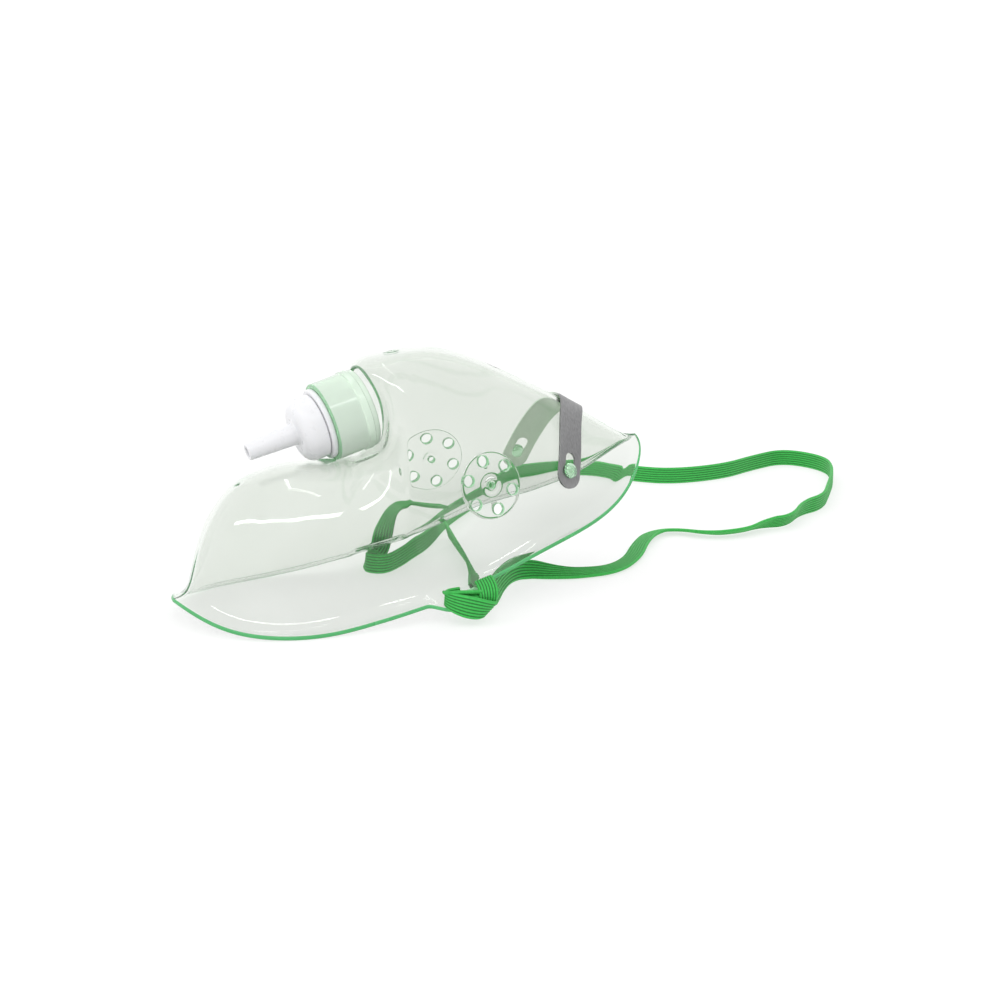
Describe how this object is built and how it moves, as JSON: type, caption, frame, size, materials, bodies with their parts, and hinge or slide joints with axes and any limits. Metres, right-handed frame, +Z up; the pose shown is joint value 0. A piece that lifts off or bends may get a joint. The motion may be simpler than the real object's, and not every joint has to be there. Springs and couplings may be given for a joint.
{
  "type": "oxygen face mask",
  "caption": "Clear soft under-chin oxygen face mask with a white swivel tubing connector, metal nose clip, cheek vents and a knotted green elastic strap.",
  "frame": {"origin": "centre of the bottom of the mask's own box, on the surface it lies on face-opening down, without the strap", "axes": "+X from the chin to the nose bridge, +Z up and away from the face, Y across the face; the XZ plane is the mask's plane of symmetry"},
  "size_m": [0.3039, 0.1841, 0.0762],
  "materials": {
    "clear_pvc": "gloss",
    "green_pvc": "gloss",
    "white_plastic": "satin",
    "clip_aluminium": "satin",
    "green_elastic": "woven"
  },
  "bodies": {
    "mask": {"mask_shell": "clear_pvc", "port_collar": "green_pvc", "connector_sleeve": "white_plastic", "nose_clip": "clip_aluminium", "clip_studs": "green_pvc", "strap_loop": "green_elastic", "strap_tail_near": "green_elastic", "strap_tail_far": "green_elastic", "strap_knot": "green_elastic"},
    "connector": {"swivel_connector": "white_plastic"}
  },
  "joints": [
    {"name": "connector_swivel", "type": "hinge", "parent": "mask", "child": "connector", "pos_m": [-0.0302, 0, 0.0554], "axis": [-0.9583, 0, -0.2857], "continuous": true}
  ]
}
